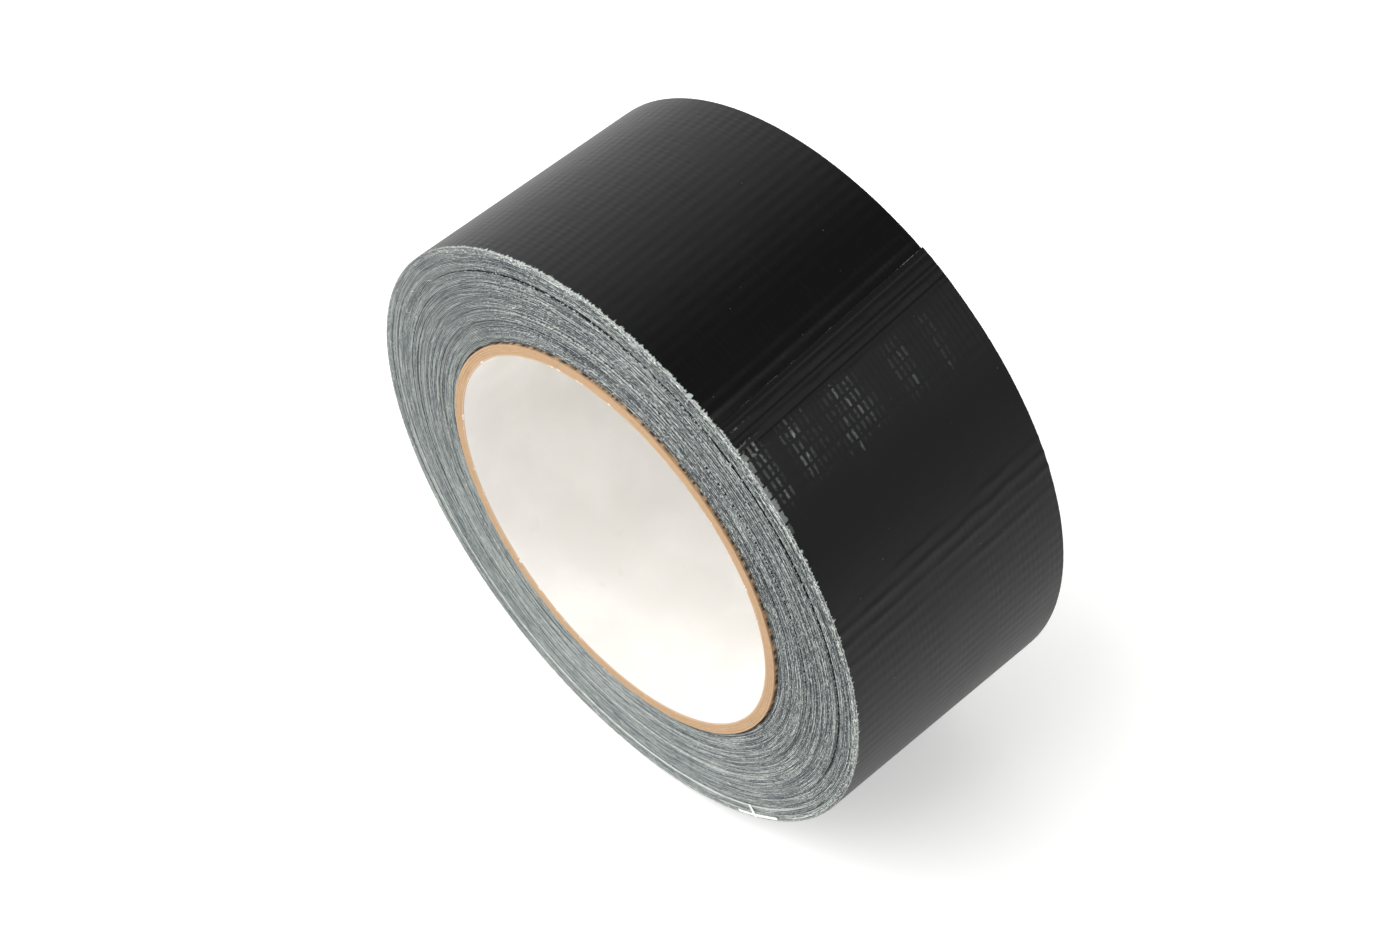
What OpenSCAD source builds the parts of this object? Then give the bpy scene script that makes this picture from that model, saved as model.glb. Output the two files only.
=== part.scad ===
// Duct tape roll, standing on its rim.
//
// A paperboard core on a 3 inch bore carries one long strip of cloth-backed tape.
// The bore runs along Y, the front side faces -Y and the floor is under the rim, at -Z.
// The strip is wound as a real spiral: every turn climbs by one tape thickness, and the
// last stretch, the tail, is a chain of short links that peels away from the roll.

/* [Core] */

// Bore of the core, the hole that a dispenser hub fills
core_bore_d = 76.2; // [60:0.1:100]
// Thickness of the white paper that lines the bore
liner_t = 0.35; // [0.2:0.05:0.8]
// Thickness of one kraft ply, of which the core has four
ply_t = 0.46; // [0.3:0.02:0.8]
// How far the core stands proud of the tape at each end
core_proud = 0.6; // [0:0.1:2]

/* [Tape] */

// Width of the tape
tape_w = 50; // [24:1:100]
// Thickness of the black polyethylene film on the outside of the tape
film_t = 0.08; // [0.06:0.005:0.15]
// Thickness of the woven cloth in the middle of the tape
scrim_t = 0.05; // [0.04:0.005:0.12]
// Thickness of the adhesive on the inside of the tape
adhesive_t = 0.105; // [0.06:0.005:0.2]
// Turns of tape in each stack of the winding, from the core outward
stack_turns = [18, 10, 12, 9, 11, 11, 9]; // [1:1:30]
// How far each stack was wound toward the back, from the core outward
stack_shift = [0.15, -0.1, 0.2, -0.15, 0.15, 0.4, 0.1]; // [-0.5:0.05:0.5]
// How far the outermost turn was wound toward the back
outer_shift = 0; // [-0.5:0.05:0.5]

/* [Tail] */

// Direction of the tail's cut end, from +X up toward +Z
tail_end_deg = 65.5; // [0:0.5:90]
// Arc of the roll that the loose tail covers
tail_arc_deg = 41.5; // [20:0.5:80]

/* [Fits] */

// Slack between the core and the first turn
core_gap = 0.03; // [0.01:0.01:0.2]
// Air under the tail, where it was peeled once and laid back
tail_gap = 0.05; // [0.02:0.01:0.2]
// Slit between two links of the tail
link_slit = 0.04; // [0.02:0.01:0.1]
// Depth to which the roll's own weight presses the film flat on the floor
stand_flat = 0.05; // [0.01:0.01:0.05]

/* [Hidden] */

$fa = 3;
$fs = 0.5;

tape_t = film_t + scrim_t + adhesive_t;
climb = tape_t / 4;
bore_r = core_bore_d / 2;
kraft_r = bore_r + liner_t;
core_r = kraft_r + 4 * ply_t;
core_len = tape_w + 2 * core_proud;
wound_r = core_r + core_gap + climb / 2;
tail_links = 4;
link_deg = tail_arc_deg / tail_links;
tail_root = 360 - tail_arc_deg;
slit_deg = link_slit / stack_r(7) * 180 / PI;

black_film = [0.07, 0.07, 0.075];
grey_cloth = [0.62, 0.66, 0.65];
pale_glue = [0.72, 0.73, 0.69];
wound_edge = [0.42, 0.46, 0.46];
kraft = [0.78, 0.6, 0.42];
white_paper = [0.9, 0.88, 0.84];

// Radius on which a stack of the winding starts
function turns_under(n, i = 0) = i < n ? stack_turns[i] + turns_under(n, i + 1) : 0;
function stack_r(n) = wound_r + tape_t * turns_under(n);

function ray(a) = [cos(a), sin(a)];

// The spiral is four quarter arcs a turn, each about its own centre: the centres are the
// corners of a small square round the bore's axis, so that the arcs meet without a kink
function centre(q) =
  q == 0 ? climb / 2 * (ray(tail_end_deg + 90) - ray(tail_end_deg))
         : centre(q - 1) - climb * ray(tail_end_deg + 90 * q);

// Height of the floor: the outermost turn touches it in its third quarter
floor_z = centre(2).y - stack_r(7) - tape_t - 2 * climb;

// Everything is drawn with the bore upright and the front side up, then laid on its rim
module on_rim() {
  rotate([90, 0, 0]) children();
}

module tube_wall(r, t, len) {
  on_rim() translate([0, 0, -len / 2]) difference() {
    cylinder(r = r + t, h = len);
    translate([0, 0, -1]) cylinder(r = r, h = len + 2);
  }
}

// A stretch of the spiral between two angles past the tail's cut end
module wrap(r, t, from, to, shift) {
  on_rim() for (q = [0:3]) {
    low = max(from, 90 * q);
    high = min(to, 90 * (q + 1));
    if (high > low) translate([centre(q).x, centre(q).y, -tape_w / 2 - shift])
      rotate([0, 0, tail_end_deg + low]) rotate_extrude(angle = high - low)
        translate([r + q * climb, 0]) square([t, tape_w]);
  }
}

module stack(n) {
  color(wound_edge) wrap(stack_r(n), stack_turns[n] * tape_t, 0, 360, stack_shift[n]);
}

// The outermost turn, as far as the line where the tail comes loose
module outer_layer(below, t) {
  wrap(stack_r(7) + below, t, 0, tail_root - slit_deg / 2, outer_shift);
}

// A block that takes off the sliver of film that standing presses flat
module standing_flat() {
  translate([-bore_r / 2, -tape_w, floor_z - tape_t])
    cube([bore_r, 2 * tape_w, tape_t + stand_flat]);
}

// One link of the tail, laid back over the turn beneath it
module tail_layer(n, below, t) {
  wrap(stack_r(7) + tail_gap + below, t, tail_root + n * link_deg + slit_deg / 2,
       tail_root + (n + 1) * link_deg - (n < tail_links - 1 ? slit_deg / 2 : 0), outer_shift);
}

module adhesive_of(n) { color(pale_glue) tail_layer(n, 0, adhesive_t); }
module scrim_of(n) { color(grey_cloth) tail_layer(n, adhesive_t, scrim_t); }
module film_of(n) { color(black_film) tail_layer(n, adhesive_t + scrim_t, film_t); }

// Core, from the bore outward

module core_liner() { color(white_paper) tube_wall(bore_r, liner_t, core_len); }
module core_ply_1() { color(kraft) tube_wall(kraft_r, ply_t, core_len); }
module core_ply_2() { color(kraft) tube_wall(kraft_r + ply_t, ply_t, core_len); }
module core_ply_3() { color(kraft) tube_wall(kraft_r + 2 * ply_t, ply_t, core_len); }
module core_ply_4() { color(kraft) tube_wall(kraft_r + 3 * ply_t, ply_t, core_len); }

// Winding, from the core outward

module winding_1() { stack(0); }
module winding_2() { stack(1); }
module winding_3() { stack(2); }
module winding_4() { stack(3); }
module winding_5() { stack(4); }
module winding_6() { stack(5); }
module winding_7() { stack(6); }

// Outermost turn, a laminate of three layers

module outer_turn_adhesive() { color(pale_glue) outer_layer(0, adhesive_t); }
module outer_turn_scrim() { color(grey_cloth) outer_layer(adhesive_t, scrim_t); }
module outer_turn_film() {
  color(black_film) difference() {
    outer_layer(adhesive_t + scrim_t, film_t);
    standing_flat();
  }
}

// Tail, from the line where it comes loose to its cut end

module tail_1_adhesive() { adhesive_of(0); }
module tail_1_scrim() { scrim_of(0); }
module tail_1_film() { film_of(0); }
module tail_2_adhesive() { adhesive_of(1); }
module tail_2_scrim() { scrim_of(1); }
module tail_2_film() { film_of(1); }
module tail_3_adhesive() { adhesive_of(2); }
module tail_3_scrim() { scrim_of(2); }
module tail_3_film() { film_of(2); }
module tail_4_adhesive() { adhesive_of(3); }
module tail_4_scrim() { scrim_of(3); }
module tail_4_film() { film_of(3); }

core_liner();
core_ply_1();
core_ply_2();
core_ply_3();
core_ply_4();
winding_1();
winding_2();
winding_3();
winding_4();
winding_5();
winding_6();
winding_7();
outer_turn_adhesive();
outer_turn_scrim();
outer_turn_film();
tail_1_adhesive();
tail_1_scrim();
tail_1_film();
tail_2_adhesive();
tail_2_scrim();
tail_2_film();
tail_3_adhesive();
tail_3_scrim();
tail_3_film();
tail_4_adhesive();
tail_4_scrim();
tail_4_film();
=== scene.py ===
import math
import random

import bmesh
import bpy
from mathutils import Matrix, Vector, noise


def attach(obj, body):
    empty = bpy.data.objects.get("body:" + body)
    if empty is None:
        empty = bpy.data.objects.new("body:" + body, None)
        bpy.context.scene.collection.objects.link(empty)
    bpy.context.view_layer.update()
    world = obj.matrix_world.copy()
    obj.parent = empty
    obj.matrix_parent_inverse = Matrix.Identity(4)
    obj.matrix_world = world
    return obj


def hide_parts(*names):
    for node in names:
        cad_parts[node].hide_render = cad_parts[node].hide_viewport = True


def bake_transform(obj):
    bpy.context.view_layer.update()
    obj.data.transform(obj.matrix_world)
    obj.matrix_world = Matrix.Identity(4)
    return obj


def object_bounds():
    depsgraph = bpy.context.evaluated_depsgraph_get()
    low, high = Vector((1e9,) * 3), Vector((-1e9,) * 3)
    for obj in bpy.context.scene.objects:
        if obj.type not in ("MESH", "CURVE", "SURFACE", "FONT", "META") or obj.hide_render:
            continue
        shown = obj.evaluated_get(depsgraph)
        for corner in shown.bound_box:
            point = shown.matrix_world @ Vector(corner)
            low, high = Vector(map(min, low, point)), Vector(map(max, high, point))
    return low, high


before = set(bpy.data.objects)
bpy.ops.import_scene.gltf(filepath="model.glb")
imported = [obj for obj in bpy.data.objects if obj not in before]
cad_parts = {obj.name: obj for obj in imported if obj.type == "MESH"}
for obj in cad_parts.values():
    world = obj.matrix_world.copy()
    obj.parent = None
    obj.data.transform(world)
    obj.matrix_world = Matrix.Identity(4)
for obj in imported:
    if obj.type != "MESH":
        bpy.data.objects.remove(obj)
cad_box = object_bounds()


# --- White liner of the core ------------------------------------------------------------
# The inside of the core is a strip of white paper, wound in a helix with its edges butted.
# It is glued to the first kraft ply and cut with it at both ends.

MM = 0.001


def wall(node):
    """Inner radius, outer radius, front and back of a CAD node that runs round the bore."""
    points = [vertex.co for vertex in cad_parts[node].data.vertices]
    reach = [math.hypot(point.x, point.z) for point in points]
    return min(reach), max(reach), min(p.y for p in points), max(p.y for p in points)


class Wire:
    """An output socket of a material that adds, multiplies and compares like a number."""

    def __init__(self, paint, socket):
        self.paint, self.socket = paint, socket

    def maths(self, operation, *values):
        return self.paint.node("Math", {"operation": operation}, dict(enumerate(values)))

    def __add__(self, other):
        return self.maths("ADD", self, other)

    def __radd__(self, other):
        return self.maths("ADD", other, self)

    def __sub__(self, other):
        return self.maths("SUBTRACT", self, other)

    def __rsub__(self, other):
        return self.maths("SUBTRACT", other, self)

    def __mul__(self, other):
        return self.maths("MULTIPLY", self, other)

    def __rmul__(self, other):
        return self.maths("MULTIPLY", other, self)

    def __truediv__(self, other):
        return self.maths("DIVIDE", self, other)

    def __rtruediv__(self, other):
        return self.maths("DIVIDE", other, self)

    def __pow__(self, other):
        return self.maths("POWER", self, other)

    def __abs__(self):
        return self.maths("ABSOLUTE", self)

    def floor(self):
        return self.maths("FLOOR", self)

    def fract(self):
        return self.maths("FRACT", self)

    def cos(self):
        return self.maths("COSINE", self)

    def fade(self, low, high):
        """0 below low and 1 above high, with a soft step between."""
        return self.paint.node("MapRange", {"interpolation_type": "SMOOTHSTEP"},
                               {"Value": self, "From Min": low, "From Max": high})

    def line(self, middle, width):
        """1 where the value is middle, falling to 0 at width to either side."""
        return 1.0 - abs(self - middle).fade(0.0, width)


class Paint:
    """One material: its node tree, and the one way in which a node is added to it."""

    def __init__(self, name):
        self.material = bpy.data.materials.new(name)
        self.material.use_nodes = True
        self.tree = self.material.node_tree
        self.shader = self.tree.nodes["Principled BSDF"].inputs

    def node(self, kind, settings, sockets, out=0):
        made = self.tree.nodes.new("ShaderNode" + kind)
        for name, value in settings.items():
            setattr(made, name, value)
        for name, value in sockets.items():
            self.feed(made.inputs[name], value)
        return Wire(self, made.outputs[out])

    def feed(self, socket, value):
        if isinstance(value, Wire):
            self.tree.links.new(value.socket, socket)
        elif isinstance(value, tuple) and len(value) == 3 and socket.type == "RGBA":
            socket.default_value = (*value, 1.0)
        else:
            socket.default_value = value

    def place(self, source="Object"):
        """x, y and z on the object in metres, or the two distances of its UV map in mm."""
        at = self.node("TexCoord", {}, {}, out=source)
        return [self.node("SeparateXYZ", {}, {"Vector": at}, out=axis) for axis in "XYZ"]

    def angle(self, x, z):
        """Angle round the bore, from +X up toward +Z, in radians."""
        return self.node("Math", {"operation": "ARCTAN2"}, {0: z, 1: x})

    def point(self, x, y, z=0.0):
        return self.node("CombineXYZ", {}, {"X": x, "Y": y, "Z": z})

    def grain(self, at, scale, detail=2.0, roughness=0.5):
        return self.node("TexNoise", {}, {"Vector": at, "Scale": scale, "Detail": detail,
                                          "Roughness": roughness})

    def dice(self, at):
        """One even random number for each whole step of a point."""
        return self.node("TexWhiteNoise", {"noise_dimensions": "3D"}, {"Vector": at})

    def blend(self, factor, first, second):
        return self.node("Mix", {"data_type": "RGBA"}, {0: factor, 6: first, 7: second}, out=2)

    def finish(self, colour, roughness, height=None, **plain):
        """Wires colour, roughness and a height in metres into the shader."""
        self.feed(self.shader["Base Color"], colour)
        self.feed(self.shader["Roughness"], roughness)
        if height is not None:
            bump = self.node("Bump", {}, {"Strength": 1.0, "Distance": 1.0, "Height": height})
            self.feed(self.shader["Normal"], bump)
        for name, value in plain.items():
            self.feed(self.shader[name.replace("_", " ")], value)
        return self.material


core_half = wall("core_liner")[3]


def white_paper():
    paint = Paint("white_paper")
    x, y, z = paint.place()
    at = paint.point(x, y, z)
    cloud = paint.grain(at, 60.0, 4.0)
    fibre = paint.grain(at, 1500.0, 3.0)
    smudge = paint.grain(at, 170.0).fade(0.66, 0.8)
    fluff = paint.grain(at, 420.0, 3.0, 0.7).fade(0.60, 0.66)
    end = abs(y).fade(core_half - 0.25 * MM, core_half - 0.12 * MM) * (1.0 - fluff * 0.8)
    colour = paint.blend(cloud.fade(0.35, 0.7), (0.72, 0.695, 0.66), (0.79, 0.77, 0.735))
    colour = paint.blend(smudge * 0.2, colour, (0.50, 0.42, 0.34))
    colour = paint.blend(end * 0.9, colour, (0.42, 0.27, 0.155))
    height = fibre * 0.00002 + cloud * 0.00006
    return paint.finish(colour, 0.75, height)


def rounded(inner, outer, front, back, edge, steps=3):
    """Outline of a wall with its four edges rounded off, as radius and y."""
    outline = []
    for r, y, start in ((outer - edge, front + edge, -90), (outer - edge, back - edge, 0),
                        (inner + edge, back - edge, 90), (inner + edge, front + edge, 180)):
        for step in range(steps + 1):
            turn = math.radians(start + 90 * step / steps)
            outline.append((r + edge * math.cos(turn), y + edge * math.sin(turn)))
    return outline


def closed_loop(bm, points):
    """The vertices and edges of an outline, closed on itself."""
    corners = [bm.verts.new(point) for point in points]
    return corners, [bm.edges.new(pair) for pair in zip(corners, corners[1:] + corners[:1])]


def solid(name, bm, materials, smooth=50.0):
    """Turns a bmesh into a piece with smooth faces and sharp edges."""
    bmesh.ops.recalc_face_normals(bm, faces=bm.faces)
    mesh = bpy.data.meshes.new(name)
    bm.to_mesh(mesh)
    bm.free()
    for material in materials:
        mesh.materials.append(material)
    mesh.shade_smooth()
    mesh.set_sharp_from_angle(angle=math.radians(smooth))
    piece = bpy.data.objects.new(name, mesh)
    bpy.context.scene.collection.objects.link(piece)
    return piece


def core_ring(name, node, edge, unevenness, material):
    """One paper layer of the core, whose cut ends are a little uneven."""
    inner, outer, front, back = wall(node)
    bm = bmesh.new()
    outline = rounded(inner, outer, front, back, edge)
    corners, edges = closed_loop(bm, [(r, y, 0.0) for r, y in outline])
    bmesh.ops.spin(bm, geom=corners + edges, axis=(0, -1, 0), cent=(0, 0, 0),
                   angle=math.tau, steps=240, use_merge=True)
    bmesh.ops.remove_doubles(bm, verts=bm.verts, dist=0.0002 * MM)
    for vertex in bm.verts:
        side = 1.0 if vertex.co.y < 0 else -1.0
        if abs(vertex.co.y) > back - 2 * edge:
            bite = noise.noise(vertex.co * 900) + noise.noise(vertex.co * 250)
            vertex.co.y += side * unevenness * abs(bite)
    piece = solid(name, bm, [material])
    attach(piece, "roll")
    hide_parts(node)
    return piece


liner = core_ring("liner_paper_strip", "core_liner", 0.1 * MM, 0.05 * MM, white_paper())


# --- Kraft plies of the core --------------------------------------------------------------
# Four strips of brown kraft board are wound over the liner in a helix and glued, so that
# the core's cut end shows four tan rings with a fine glue line between each two.

kraft_r = wall("core_ply_4")[1]
tape_half = wall("outer_turn_film")[3]


def kraft_board():
    """Brown board. Where the tape stops short of the core's end, its side is in deep shade."""
    paint = Paint("kraft_board")
    x, y, z = paint.place()
    turn = paint.angle(x, z)
    reach = (x * x + z * z) ** 0.5
    along = paint.point(turn * 6.0, y * 900.0, reach * 2500.0)
    fibre = paint.grain(along, 1.0, 3.0, 0.6)
    fleck = paint.grain(paint.point(x, y, z), 1700.0, 2.0).fade(0.58, 0.72)
    cloud = paint.grain(paint.point(x, y, z), 140.0, 3.0)
    rim = paint.grain(paint.point(turn * 22.0, 7.0), 1.0, 3.0, 0.7)
    inside = 1.0 - abs(y).fade(tape_half + 0.05 * MM, tape_half + 0.45 * MM)
    # painted shade: an uneven near-black line on the core's side, where the tape stops short of its end
    gap = reach.fade(kraft_r - 0.08 * MM, kraft_r - 0.03 * MM) * inside * rim.fade(0.42, 0.56)
    colour = paint.blend(fibre.fade(0.2, 0.8), (0.365, 0.225, 0.120), (0.435, 0.285, 0.160))
    colour = paint.blend(cloud.fade(0.4, 0.7) * 0.4, colour, (0.37, 0.235, 0.13))
    colour = paint.blend(fleck * 0.4, colour, (0.24, 0.15, 0.09))
    colour = paint.blend(gap * 0.95, colour, (0.012, 0.011, 0.012))
    height = fibre * 0.00006 + fleck * 0.00002
    return paint.finish(colour, 0.85, height)


board = kraft_board()
for ply in range(1, 5):
    ring = core_ring(f"kraft_ply_{ply}", f"core_ply_{ply}", 0.07 * MM, 0.07 * MM, board)


# --- Wound tape -----------------------------------------------------------------------------
# The tape is one strip, and each turn climbs by its thickness. Seven stacks of turns were
# wound with a small sideways step between them. On the ends every turn shows as a pale edge
# of adhesive and cloth beside a thin groove, which is the black film.

film_t = 0.08 * MM
cloth_t = 0.05 * MM
glue_t = 0.105 * MM
tape_t = glue_t + cloth_t + film_t
strip_r = wall("winding_1")[0]
rim_r = wall("outer_turn_film")[1]
# the strip starts at this angle from +X, right under its torn end
strip_start = math.radians(65.5)
# the cloth's threads, in mm apart, and how far those across the tape lean along it
weft_pitch = 2.33
warp_pitch = 1.15
weave_lean = 0.07


def turned(degrees):
    """Distance along the strip, in mm, at an angle from +X: past 360 on its last turn."""
    return math.radians(degrees) * rim_r / MM


# bands of turns that lie deeper, painted in shade: the middle turn of each, and how many turns it fades
# over
shaded_sunken_bands = ((17.9, 3.0), (27.6, 2.4), (40.1, 2.8), (48.8, 2.2), (59.5, 1.6), (71.2, 4.2))


def tape_edges():
    """The pale and dark lines of the turns, by distance along and across the strip. The cut
    was rougher on the upper right of the roll, and the outermost turns are furry there."""
    paint = Paint("tape_edges")
    x, y, z = paint.place()
    reach = (x * x + z * z) ** 0.5
    turn = ((paint.angle(x, z) - strip_start) / math.tau).fract()
    wound = (reach - strip_r) / tape_t - turn
    across, count = wound.fract(), wound.floor()
    rough = ((x * 0.77 + z * 0.64) / reach).fade(-0.35, 0.55)
    furry = wound.fade(75.0, 77.0) * rough
    patch = paint.grain(paint.point(count * 3.7, turn * 34.0, y * 40.0), 1.0, 3.0, 0.65)
    streak = paint.grain(paint.point(turn * 30.0, wound * 1.25), 1.0, 3.0, 0.6)
    groove = paint.grain(paint.point(turn * 17.0, wound * 0.75, 5.0), 1.0, 3.0, 0.6)
    dash = paint.grain(paint.point(turn * 330.0, wound * 0.8, 9.0), 1.0, 2.0, 0.7)
    speck = paint.grain(paint.point(count * 5.3, turn * 560.0, across * 1.5), 1.0, 2.0, 0.7)
    sunk_shade = 0.0
    for middle, width in shaded_sunken_bands:
        sunk_shade = wound.line(middle, width) + sunk_shade
    sunk_shade = sunk_shade * paint.grain(paint.point(wound * 0.3, turn * 6.0), 1.0, 2.0).fade(0.36, 0.56)
    streak = streak.fade(0.51, 0.59) * (0.22 + rough * 0.68)
    groove = (1.0 - groove.fade(0.41, 0.48)) * (0.18 + rough * 0.74)
    dash = (1.0 - dash.fade(0.41, 0.48)) * (0.1 + rough * 0.75)
    fleck = speck.fade(0.54, 0.64)
    core_side_shade = paint.grain(paint.point(turn * 60.0, 4.0), 1.0).fade(0.4, 0.5)
    core_side_shade = core_side_shade * (1.0 - wound.fade(0.8, 2.2))
    pale = paint.blend(patch.fade(0.4, 0.6), (0.125, 0.150, 0.152), (0.29, 0.318, 0.305))
    # painted shade: the sunken bands are darkened, more on the upper right
    pale = paint.blend(sunk_shade * (0.25 + rough * 0.5), pale, (0.04, 0.05, 0.068))
    pale = paint.blend(streak, pale, (0.60, 0.64, 0.60))
    # painted shade: dark streaks along the turns, the shade of shallow grooves there
    pale = paint.blend(groove, pale, (0.02, 0.026, 0.04))
    pale = paint.blend(dash, pale, (0.024, 0.03, 0.044))
    pale = paint.blend(fleck * (0.15 + furry * 0.7 + rough * 0.35), pale, (0.70, 0.74, 0.68))
    # painted shade: the first turns beside the core are darkened to near black, the shade of the gap
    # there
    pale = paint.blend(core_side_shade * 0.9, pale, (0.012, 0.013, 0.017))
    film = across.fade(0.55, 0.66) * (1.0 - across.fade(0.94, 1.0))
    gone = 1.0 - fleck * 0.6 - furry * 0.5
    colour = paint.blend(film * gone, pale, (0.014, 0.016, 0.021))
    height = speck * 0.00004 + patch * 0.00003
    return paint.finish(colour, 0.62, height)


# where the cells between the threads get painted glints, across the tape in mm: middle, half width, share
painted_glint_patches = ((-22.3, 3.2, 1.0), (-15.2, 3.2, 0.9), (-11.6, 2.0, 0.4),
                 (-4.0, 8.0, 0.6), (8.5, 4.2, 0.45), (16.5, 3.0, 0.3))
# angles of the crest of each ridge, which gets a painted highlight, and of the dark grooves beside the
# torn end, past 360
crest_angles = (419.2, 421.6, 424.1)
groove_angles = (420.3, 422.7, 425.2)


def black_film():
    """Black polyethylene over cloth: the threads press a skewed grid into its gloss, and
    near the torn end the bare cells between them are smooth, with glints painted into their colour."""
    paint = Paint("black_film")
    along, across, _ = paint.place("UV")
    here = paint.point(along, across)

    def stretch(start, from_here, to_here, end):
        """1 between two angles of the strip, fading over the outer two to 0."""
        rise = along.fade(turned(start), turned(from_here))
        return rise * (1.0 - along.fade(turned(to_here), turned(end)))

    # the grid of threads, one whole number a thread either way
    weft = along - across * weave_lean
    wobble = (paint.grain(here, 0.7) - 0.5) * 0.3
    row, column = weft / weft_pitch + wobble * 0.4, across / warp_pitch + wobble
    ribs = (row * math.tau).cos() * 0.5 + 0.5
    cords = (column * math.tau).cos() * 0.5 + 0.5
    patch = paint.grain(paint.point(along * 0.05, across * 0.25), 1.0, 3.0, 0.6).fade(0.3, 0.7)
    calm = 1.0 - stretch(387.0, 391.0, 407.5, 410.0)
    strength = (0.2 + patch * 0.8) * (0.2 + calm * 0.8)
    scuff = paint.grain(paint.point(along * 0.1, across * 3.2), 1.0, 4.0, 0.7).fade(0.58, 0.8)
    pores = paint.grain(here, 3.5, 3.0)
    broad = paint.grain(here, 0.06, 2.0)

    # painted highlight: glints in the cells, in a zone whose near border is uneven
    sway = (paint.grain(paint.point(across * 0.3, 17.0), 1.0, 3.0, 0.7) - 0.5) * 18.0
    zone = (along + sway).fade(turned(407.8), turned(410.5))
    zone = zone * (1.0 - along.fade(turned(419.0), turned(419.8)))
    bright = 0.0
    for middle, width, share in painted_glint_patches:
        bright = across.line(middle, width) * share + bright
    chance = paint.dice(paint.point(row.floor(), (column + 0.5).floor()))
    dash = cords.fade(0.3, 0.8) * (1.0 - ribs.fade(0.8, 0.97))
    painted_glint_noise = paint.grain(here, 1.1, 3.0).fade(0.30, 0.55)
    painted_glint = zone * dash * bright * (0.40 + chance ** 3.0 * 0.7) * painted_glint_noise

    # a row of painted highlight blocks on the front edge, one in each cell along it
    ragged = paint.dice(paint.point(row.floor(), 43.0)) * 1.3 + paint.grain(here, 2.6) * 0.9 - 0.15
    painted_glint_block = (1.0 - across.fade(-23.3, -23.0)) * stretch(404.0, 404.6, 418.6, 419.0)
    painted_glint_block = painted_glint_block * (1.0 - ribs.fade(0.86, 0.99))
    painted_glint_block = painted_glint_block * (1.0 - (across + 24.9 - ragged).fade(-0.15, 0.15))
    painted_glint_block = painted_glint_block * (0.25 + paint.dice(paint.point(row.floor(), 41.0)) * 0.75)

    # crests and grooves of the ridges at the torn end: the crests get a painted highlight, brightest at
    # the front
    painted_crest_highlight = 0.0
    for degrees in crest_angles:
        painted_crest_highlight = weft.line(turned(degrees), 0.42) + painted_crest_highlight
    painted_crest_highlight = painted_crest_highlight * (1.0 - across.fade(-23.0, -18.0)) * paint.grain(here, 1.3, 2.0).fade(0.45, 0.6)
    grooves = 0.0
    for degrees in groove_angles:
        grooves = weft.line(turned(degrees), 0.5) + grooves
    painted_glint = painted_glint + painted_glint_block * 1.6 + painted_crest_highlight * 0.6

    # threads that fray over the front edge, more of them beside the torn end, and dust
    near_end = (1.0 - along.fade(turned(120.0), turned(150.0))) + along.fade(turned(380.0), turned(410.0))
    spikes = paint.grain(paint.point(along * 1.5, across * 0.6), 1.0, 4.0, 0.75)
    spikes = (spikes * 2.6 - 1.26 + near_end * 0.16 - (across + 25.0)).fade(-0.04, 0.1)
    fray = (1.0 - painted_glint_block) * spikes
    dust = paint.grain(here, 1.9, 1.0).fade(0.79, 0.83)

    height = (ribs * 0.034 + cords * 0.015) * strength + pores * 0.010 + broad * 0.25
    height = height + scuff * 0.008 + zone * cords * 0.012 - grooves * 0.10
    colour = paint.blend(scuff, (0.0026, 0.0026, 0.0031), (0.0085, 0.0085, 0.010))
    # painted highlight: the glints, the blocks on the front edge and the ridge crests lighten the film's
    # colour
    colour = paint.blend(painted_glint.fade(0.0, 1.1), colour, (0.15, 0.16, 0.155))
    colour = paint.blend(dust * 0.5, colour, (0.20, 0.20, 0.19))
    colour = paint.blend(fray, colour, (0.42, 0.46, 0.43))
    shiny = 1.0 - along.fade(turned(76.0), turned(100.0))
    roughness = 0.42 + pores * 0.06 + scuff * 0.06 - shiny * 0.12 - painted_glint * 0.1 + fray * 0.3
    return paint.finish(colour, roughness, height * MM, IOR=1.3)


def weave_cells(paint, along, across):
    """Where the threads of the cloth lie, 1 on a thread and 0 in the holes between."""
    weft = ((along - across * weave_lean) / weft_pitch).fract().line(0.5, 0.22)
    warp = (across / warp_pitch).fract().line(0.5, 0.25)
    return weft + warp - weft * warp


def sticky_adhesive():
    paint = Paint("sticky_adhesive")
    along, across, _ = paint.place("UV")
    threads = weave_cells(paint, along, across)
    lumps = paint.grain(paint.point(along, across), 1.4, 4.0, 0.6)
    colour = paint.blend(threads, (0.40, 0.405, 0.375), (0.60, 0.61, 0.57))
    colour = paint.blend(lumps.fade(0.45, 0.75) * 0.4, colour, (0.30, 0.30, 0.285))
    height = threads * 0.00002 + lumps * 0.00003
    return paint.finish(colour, 0.42 + lumps * 0.2, height)


def boxed(point):
    """The point, or the nearest one to it inside the CAD's box: the floor presses it flat."""
    return Vector([min(max(value, low), high) for value, low, high in zip(point, *cad_box)])


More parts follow.
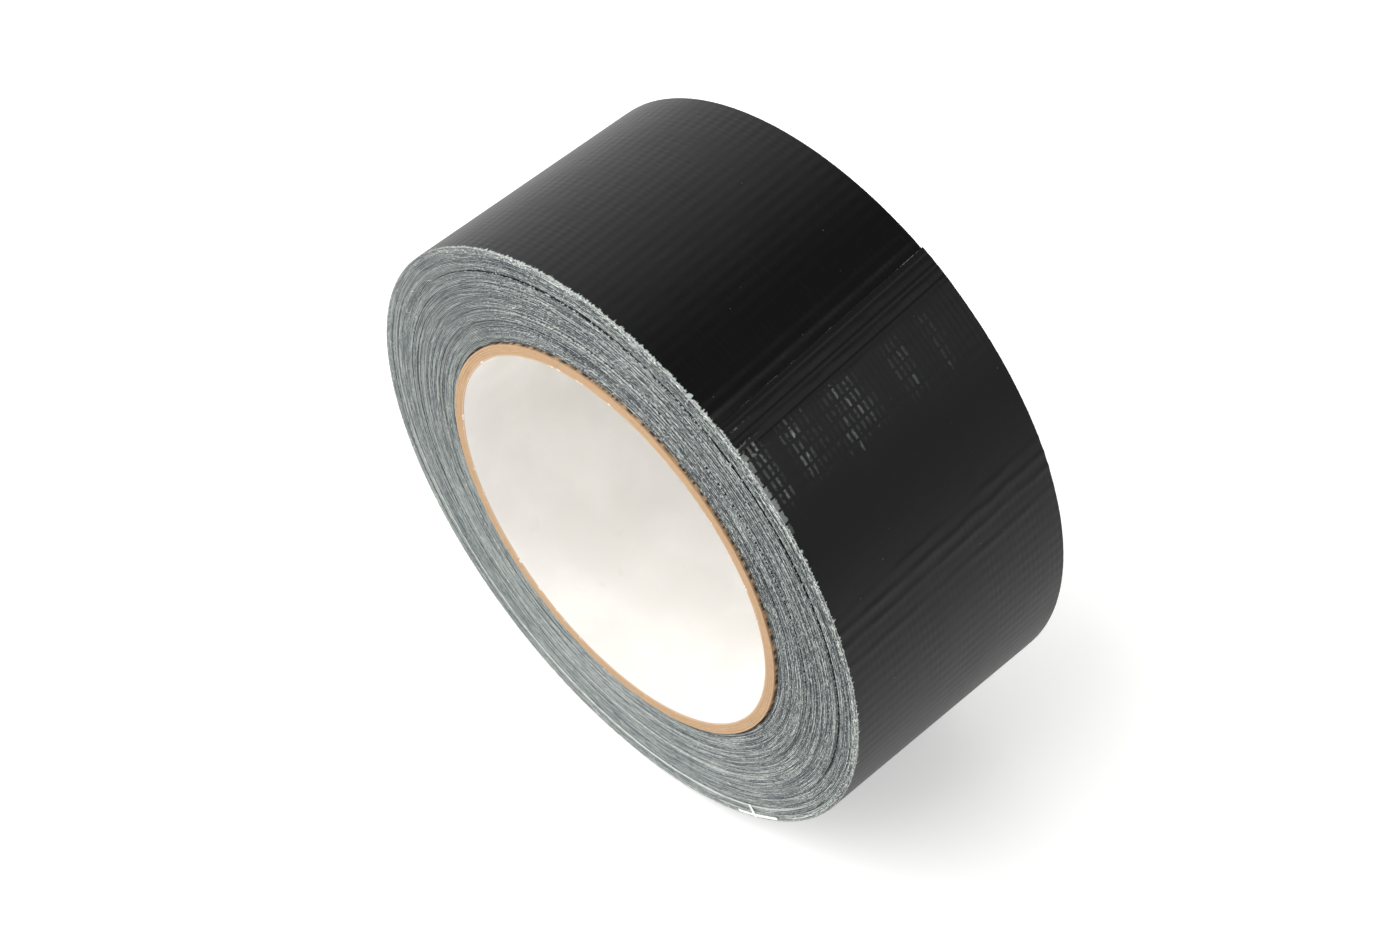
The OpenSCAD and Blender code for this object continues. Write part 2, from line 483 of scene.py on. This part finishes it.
def wound(name, outline, start, turn, steps, lie, materials, before=0.0):
    """Carries an outline along the spiral, over so many radians past the strip's start.
    lie(radius, y, along) gives each point its rise, its side step and its step along. The
    UV map is the strip laid flat, shifted back by so many turns before the last."""
    bm = bmesh.new()
    _, near = closed_loop(bm, [(start, y, r) for r, y in outline])
    drawn = bmesh.ops.extrude_edge_only(bm, edges=near)["geom"]
    far = [part for part in drawn if isinstance(part, bmesh.types.BMVert)]
    bmesh.ops.translate(bm, verts=far, vec=(turn, 0, 0))
    for place in (start, start + turn):
        end = [edge for edge in bm.edges if all(abs(v.co.x - place) < 1e-4 for v in edge.verts)]
        bmesh.ops.contextual_create(bm, geom=end)
    for face in bm.faces:
        heights = [v.co.y for v in face.verts]
        if len(materials) > 1 and len(face.verts) == 4 and max(heights) - min(heights) > 10 * MM:
            face.material_index = 1 if face.verts[0].co.z > outline[0][0] + tape_t else 2
    rails = [edge for edge in bm.edges if edge.calc_length() > turn / 2]
    bmesh.ops.subdivide_edges(bm, edges=rails, cuts=steps - 1)
    spots = []
    for vertex in bm.verts:
        along, y, r = vertex.co
        rise, aside, onward = lie(r, y, along)
        along += onward
        r += rise + tape_t * along / math.tau
        at = strip_start + along
        vertex.co = boxed((r * math.cos(at), y + aside, r * math.sin(at)))
        spots.append((rim_r * (at - before * math.tau) / MM, (y + aside) / MM))
    bm.verts.index_update()
    uv = bm.loops.layers.uv.new("strip")
    for face in bm.faces:
        for loop in face.loops:
            loop[uv].uv = spots[loop.vert.index]
    return solid(name, bm, materials)


def comb(inner, turns, front, back):
    """Outline of a stack: on both ends the film of each turn lies in a shallow groove."""
    edge = [(inner + (turn + across) * tape_t, inset * MM) for turn in range(turns)
            for across, inset in ((0.06, 0.04), (0.3, -0.02), (0.6, 0.0), (0.82, 0.08))]
    return ([(r, front + inset) for r, inset in edge]
            + [(r, back - inset) for r, inset in reversed(edge)])


def wander(turns):
    """How far the strip strayed along the bore after so many turns."""
    slow = noise.noise(Vector((turns * 0.42, 0.0, 3.7)))
    quick = noise.noise(Vector((turns * 1.9, 5.1, 0.0)))
    return (0.34 * slow + 0.14 * quick) * MM


dice = random.Random(7)
edges_paint = tape_edges()
film_paint = black_film()
glue_paint = sticky_adhesive()


def stray(r, y, along):
    """The sideways wander of a wound turn, with a little roughness of its edge."""
    turns = math.floor((r - strip_r) / tape_t) + along / math.tau
    return 0.0, wander(turns) + dice.uniform(-0.04, 0.04) * MM, 0.0


turns_under = 0
for stack in range(1, 8):
    node = f"winding_{stack}"
    inner, outer, front, back = wall(node)
    turns = round((outer - inner) / tape_t) - 1
    outline = comb(strip_r + turns_under * tape_t, turns, front, back)
    piece = wound(f"wound_stack_{stack}", outline, 0.0, math.tau, 480, stray,
                  [edges_paint, film_paint, glue_paint], before=8.0 - stack)
    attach(piece, "roll")
    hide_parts(node)
    turns_under += turns


# --- Outermost turn -------------------------------------------------------------------------
# The last turn shows the tape's three layers: adhesive, cloth and film. Across it run soft
# ridges, where a thread of the cloth was pulled up as the tape was torn or peeled.

# radians from the strip's start to where the tail comes loose, 41.5 degrees before its end
tail_root = math.radians(360 - 41.5)


def woven_cloth():
    paint = Paint("woven_cloth")
    along, across, _ = paint.place("UV")
    threads = weave_cells(paint, along, across)
    twist = paint.grain(paint.point(along * 4.0, across * 9.0), 1.0, 2.0)
    colour = paint.blend(threads, (0.25, 0.27, 0.265), (0.66, 0.70, 0.68))
    colour = paint.blend(twist * 0.3, colour, (0.42, 0.45, 0.44))
    return paint.finish(colour, 0.8, threads * 0.00003 + twist * 0.00001)


def ridge_line(thread, degrees, height):
    """A soft ridge along one weft thread, steeper on its far side, at an angle from +X."""
    gap = thread - turned(degrees)
    gap /= 0.9 if gap < 0 else 0.4
    return height * math.exp(-gap * gap)


# each ridge's angle from +X where it meets the middle of the tape, and its height in mm
root_ridges = ((20.4, 0.08), (24.2, 0.11), (27.0, 0.13), (29.6, 0.10))
end_ridges = ((59.4, 0.09), (61.7, 0.13), (64.1, 0.13))
under_ridges = ((68.4, 0.07), (70.7, 0.04))


def rest(r, y, along):
    """The ridges and cockles of the outermost turn and of the tail, laid down at rest."""
    angle = math.degrees(strip_start + along)
    thread = turned(angle) - weave_lean * y / MM
    rise = 0.0
    for degrees, height in under_ridges:
        rise += ridge_line(thread, degrees, height)
    for degrees, height in root_ridges + end_ridges:
        fray = 0.7 + 0.8 * noise.noise(Vector((y / MM * 0.16, degrees, 0.0)))
        drift = 0.35 * noise.noise(Vector((y / MM * 0.22, degrees, 5.0)))
        rise += ridge_line(thread + drift, degrees + 360, height * fray)
    cockle = noise.noise(Vector((angle * 0.09, y / MM * 0.05, 1.3)))
    return (rise + 0.015 * (cockle - 1.0)) * MM, 0.0, 0.0


def edge_fray(y, along, half):
    """The cut edge of the tape, which is a little uneven."""
    if abs(y) < half - 0.3 * MM:
        return 0.0
    bite = noise.noise(Vector((along * 120, y / MM, 0.0)))
    bite += noise.noise(Vector((along * 31, 2.0, y)))
    return (-1.0 if y > 0 else 1.0) * 0.05 * MM * abs(bite)


def layer_outline(inner, outer, front, back, across):
    """Outline of one layer: points across it on both faces, with its edges broken."""
    ys = [front + (back - front) * step / across for step in range(across + 1)]
    edge = min(0.3 * (outer - inner), 0.03 * MM)
    top = [(outer - (edge if y in (front, back) else 0.0), y) for y in ys]
    under = [(inner + (edge if y in (front, back) else 0.0), y) for y in reversed(ys)]
    return top + under


# each layer's name, how far its inner face is above the tape's, its thickness, slot and paint
layers = (("adhesive", 0.0, glue_t, "adhesive", glue_paint),
          ("scrim", glue_t, cloth_t, "cloth", woven_cloth()),
          ("film", glue_t + cloth_t, film_t, "black_film", film_paint))
_, _, tape_front, tape_back = wall("outer_turn_film")
outer_r = strip_r + turns_under * tape_t


def lay_turn(r, y, along):
    """One point of the outermost turn."""
    rise, _, _ = rest(r, y, along)
    aside = wander(turns_under + along / math.tau) * 0.4
    return rise, aside + edge_fray(y, along, tape_back), 0.0


for layer, below, thick, slot, paint in layers:
    across, steps = (40, 960) if layer == "film" else (20, 480)
    inner = outer_r + below
    outline = layer_outline(inner, inner + thick, tape_front, tape_back, across)
    piece = wound(f"outermost_{layer}", outline, 0.0, tail_root, steps, lay_turn, [paint])
    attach(piece, "roll")
    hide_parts(f"outer_turn_{layer}")


# --- Loose tail -----------------------------------------------------------------------------
# The last part of the strip was peeled once and laid back, and its torn end sits a little
# proud. It is drawn in four pieces, each of three layers.

tail_gap = 0.05 * MM
tail_arc = math.tau - tail_root
link_arc = tail_arc / 4
# the torn end reaches half a degree past the next turn's start
torn_end = math.radians(66.05) - strip_start + math.tau


def lift(along):
    """How far the tail stands off the turn beneath it."""
    past = along - tail_root
    peel = min(1.0, past / math.radians(2.5))
    end = max(0.0, (along - math.radians(344)) / math.radians(16))
    return tail_gap * peel * peel * (3 - 2 * peel) + 0.16 * MM * end * end


def lay_tail(r, y, along, last):
    """One point of the tail. The last piece is drawn out to the slanted, torn end."""
    onward = 0.0
    if last:
        middle = tail_root + 2.5 * link_arc
        ragged = 0.10 * noise.noise(Vector((y / MM * 1.3, 0.0, 8.0)))
        ragged += 0.16 * noise.noise(Vector((y / MM * 4.1, 3.0, 0.0)))
        end = torn_end + (weave_lean * y + ragged * MM) / rim_r
        onward = (along - middle) * ((end - middle) / (math.tau - middle) - 1.0)
    rise, _, _ = rest(r, y, along + onward)
    aside = wander(turns_under + (along + onward) / math.tau) * 0.4
    return (rise + lift(along + onward), aside + edge_fray(y, along + onward, tape_back), onward)


for link in range(4):
    start = tail_root + (0.0 if link == 0 else (link - 0.5) * link_arc)
    end = tail_root + (link + 0.5) * link_arc if link < 3 else math.tau
    for layer, below, thick, slot, paint in layers:
        across = 100 if layer == "film" else 25
        inner = outer_r + below
        outline = layer_outline(inner, inner + thick, tape_front, tape_back, across)
        steps = round(math.degrees(end - start) * 3)
        piece = wound(f"tail_piece_{link + 1}_{layer}", outline, start, end - start, steps,
                      lambda r, y, along: lay_tail(r, y, along, link == 3), [paint])
        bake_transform(piece)
        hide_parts(f"tail_{link + 1}_{layer}")


# --- Frayed threads -------------------------------------------------------------------------
# The tape was slit to width, and its cut cloth sheds short pale threads. They stand out of
# both ends, most of them near the rim, and stay stuck in the adhesive at their roots.


def pale_thread():
    paint = Paint("pale_thread")
    x, y, z = paint.place()
    shade = paint.grain(paint.point(x, y, z), 400.0, 2.0)
    colour = paint.blend(shade.fade(0.35, 0.65), (0.42, 0.45, 0.43), (0.72, 0.74, 0.69))
    return paint.finish(colour, 0.7)


thread_paint = pale_thread()


def frayed_ends(name, side, count, seed, middle, spread, longest):
    """Short bent threads on one end of the roll, each four-sided and drawn to a point. They
    gather round the angle middle, in degrees from +X."""
    chance = random.Random(seed)
    bm = bmesh.new()
    which = bm.verts.layers.int.new("thread")
    threads = []
    for number in range(count):
        near_rim = chance.random() < 0.6
        reach = chance.uniform(58.2, 59.2) * MM if near_rim else chance.uniform(41.0, 58.0) * MM
        at = math.radians(chance.gauss(middle, spread))
        outward = Vector((math.cos(at), 0.0, math.sin(at)))
        onward = Vector((-math.sin(at), 0.0, math.cos(at)))
        root = outward * reach + Vector((0.0, side * (tape_back - 0.1 * MM), 0.0))
        way = onward * chance.choice((-1, 1)) + outward * chance.uniform(-0.2, 0.8)
        way += Vector((0.0, side * chance.uniform(0.15, 0.6), 0.0))
        bend = Vector([chance.uniform(-0.5, 0.5) for _ in range(3)])
        length, thick = chance.uniform(0.1, longest) * MM, chance.uniform(0.03, 0.055) * MM
        aside = way.orthogonal().normalized() * thick
        upward = aside.cross(way.normalized())
        corners, _ = closed_loop(bm, [root + aside, root + upward, root - aside, root - upward])
        for corner in corners:
            corner[which] = number
        threads.append([root, way * length, bend * length])
    edges = list(bm.edges)
    for step, width in enumerate((0.9, 0.8, 0.3)):
        drawn = bmesh.ops.extrude_edge_only(bm, edges=edges)["geom"]
        tips = [part for part in drawn if isinstance(part, bmesh.types.BMVert)]
        known = set(tips)
        edges = [part for part in drawn if isinstance(part, bmesh.types.BMEdge)
                 and all(corner in known for corner in part.verts)]
        for corner in tips:
            root, stride, bend = threads[corner[which]]
            corner.co = boxed(root + stride + bend * step * 0.4 + (corner.co - root) * width)
        for thread in threads:
            thread[0] = thread[0] + thread[1] + thread[2] * step * 0.4
    bmesh.ops.holes_fill(bm, edges=bm.edges, sides=4)
    piece = solid(name, bm, [thread_paint], smooth=60.0)
    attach(piece, "roll")


frayed_ends("frayed_threads_front", -1, 900, 11, 75, 70, 0.32)
frayed_ends("frayed_threads_back", 1, 600, 12, 75, 90, 0.32)


# --- Adhesive flake ---------------------------------------------------------------------------
# A scrap of clear adhesive sticks to the front rim near the floor. It is a thin bent strip
# that follows the rim, with a short one across it, held by its own tack.


def clear_adhesive():
    paint = Paint("clear_adhesive")
    x, y, z = paint.place()
    cloud = paint.grain(paint.point(x, y, z), 900.0, 3.0)
    colour = paint.blend(cloud.fade(0.3, 0.7), (0.52, 0.55, 0.54), (0.80, 0.82, 0.80))
    return paint.finish(colour, 0.3 + cloud * 0.2, cloud * 0.00002)


# each strip's inner radius, its first angle and its sweep in degrees, and its extra width
flake_strips = ((58.6 * MM, 303.0, 12.0, 0.0), (56.6 * MM, 307.4, 0.7, 2.2 * MM))
flake_front = tape_front - 0.12 * MM
flake_wide = 0.55 * MM
flake_thin = 0.07 * MM

bm = bmesh.new()
for reach, start, sweep, longer in flake_strips:
    at = math.radians(start)
    outward = Vector((math.cos(at), 0.0, math.sin(at)))
    lower, upper = outward * reach, outward * (reach + flake_wide + longer)
    front, back = Vector((0.0, flake_front, 0.0)), Vector((0.0, flake_front + flake_thin, 0.0))
    corners, edges = closed_loop(bm, [lower + front, upper + front, upper + back, lower + back])
    bmesh.ops.spin(bm, geom=corners + edges, axis=(0, -1, 0), cent=(0, 0, 0),
                   angle=math.radians(sweep), steps=12)
bmesh.ops.holes_fill(bm, edges=bm.edges, sides=4)
for vertex in bm.verts:
    curl = noise.noise(vertex.co * 260)
    vertex.co = boxed(vertex.co + Vector((0.0, -0.12 * MM * abs(curl), 0.25 * MM * curl)))
flake = solid("adhesive_flake", bm, [clear_adhesive()], smooth=60.0)
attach(flake, "roll")


# --- Studio ---------------------------------------------------------------------------------
# A pale table under one broad soft light from the left, and a dim room that is brighter
# toward its horizon. The camera looks down on the roll from its front right.

floor_mesh = bpy.data.meshes.new("table")
bm = bmesh.new()
bmesh.ops.create_grid(bm, x_segments=1, y_segments=1, size=3.0)
bmesh.ops.translate(bm, verts=bm.verts, vec=(0, 0, cad_box[0][2]))
bm.to_mesh(floor_mesh)
bm.free()
table = bpy.data.objects.new("table", floor_mesh)
bpy.context.scene.collection.objects.link(table)
pale_table = Paint("pale_table").finish((0.88, 0.88, 0.87), 0.9, Emission_Color=(1.0, 1.0, 1.0),
                                        Emission_Strength=0.32)
floor_mesh.materials.append(pale_table)


def soft_light(name, towards, distance, size, power):
    """A square lamp in a direction from the roll, turned to face it."""
    lamp = bpy.data.lights.new(name, "AREA")
    lamp.size, lamp.energy = size, power
    holder = bpy.data.objects.new(name, lamp)
    direction = Vector(towards).normalized()
    holder.location = direction * distance
    holder.rotation_euler = direction.to_track_quat("Z", "Y").to_euler()
    bpy.context.scene.collection.objects.link(holder)


soft_light("window_light", (-0.35, -0.6, 0.8), 1.4, 1.5, 24.0)
soft_light("far_lamp", (0.57, 0.434, 0.70), 1.4, 0.36, 1.9)


class Room(Paint):
    """The light that comes from the room, painted on its directions."""

    def __init__(self, name):
        room = bpy.data.worlds.new(name)
        bpy.context.scene.world = room
        room.use_nodes = True
        self.tree = room.node_tree


room = Room("dim_room")
x, y, z = room.place("Generated")
behind = y.fade(-0.15, 0.25)
left, right = (x * -1.0).fade(0.1, 0.9), x.fade(0.22, 0.55)
low = (1.0 - z).fade(0.3, 1.0)
glow = behind * (0.11 + left * 1.25 + right * 0.40 + low * 0.2) + (1.0 - behind) * 0.75
room.feed(room.tree.nodes["Background"].inputs["Strength"], glow)
room.feed(room.tree.nodes["Background"].inputs["Color"], (1.0, 1.0, 1.0))

# the camera looks at a point just below the roll's middle, from a good arm's length away
aim = Vector((-4.05, 0.0, -4.27)) * MM
camera_distance = 620.4 * MM
azimuth, elevation = math.radians(46.0), math.radians(51.4)
lens = bpy.data.cameras.new("camera")
lens.lens = 89.8
lens.sensor_width = 36.0
camera = bpy.data.objects.new("camera", lens)
back = Vector((math.sin(azimuth) * math.cos(elevation),
               -math.cos(azimuth) * math.cos(elevation), math.sin(elevation)))
camera.location = aim + back * camera_distance
camera.rotation_euler = back.to_track_quat("Z", "Y").to_euler()
bpy.context.scene.collection.objects.link(camera)
bpy.context.scene.camera = camera
bpy.context.scene.view_settings.view_transform = "Standard"
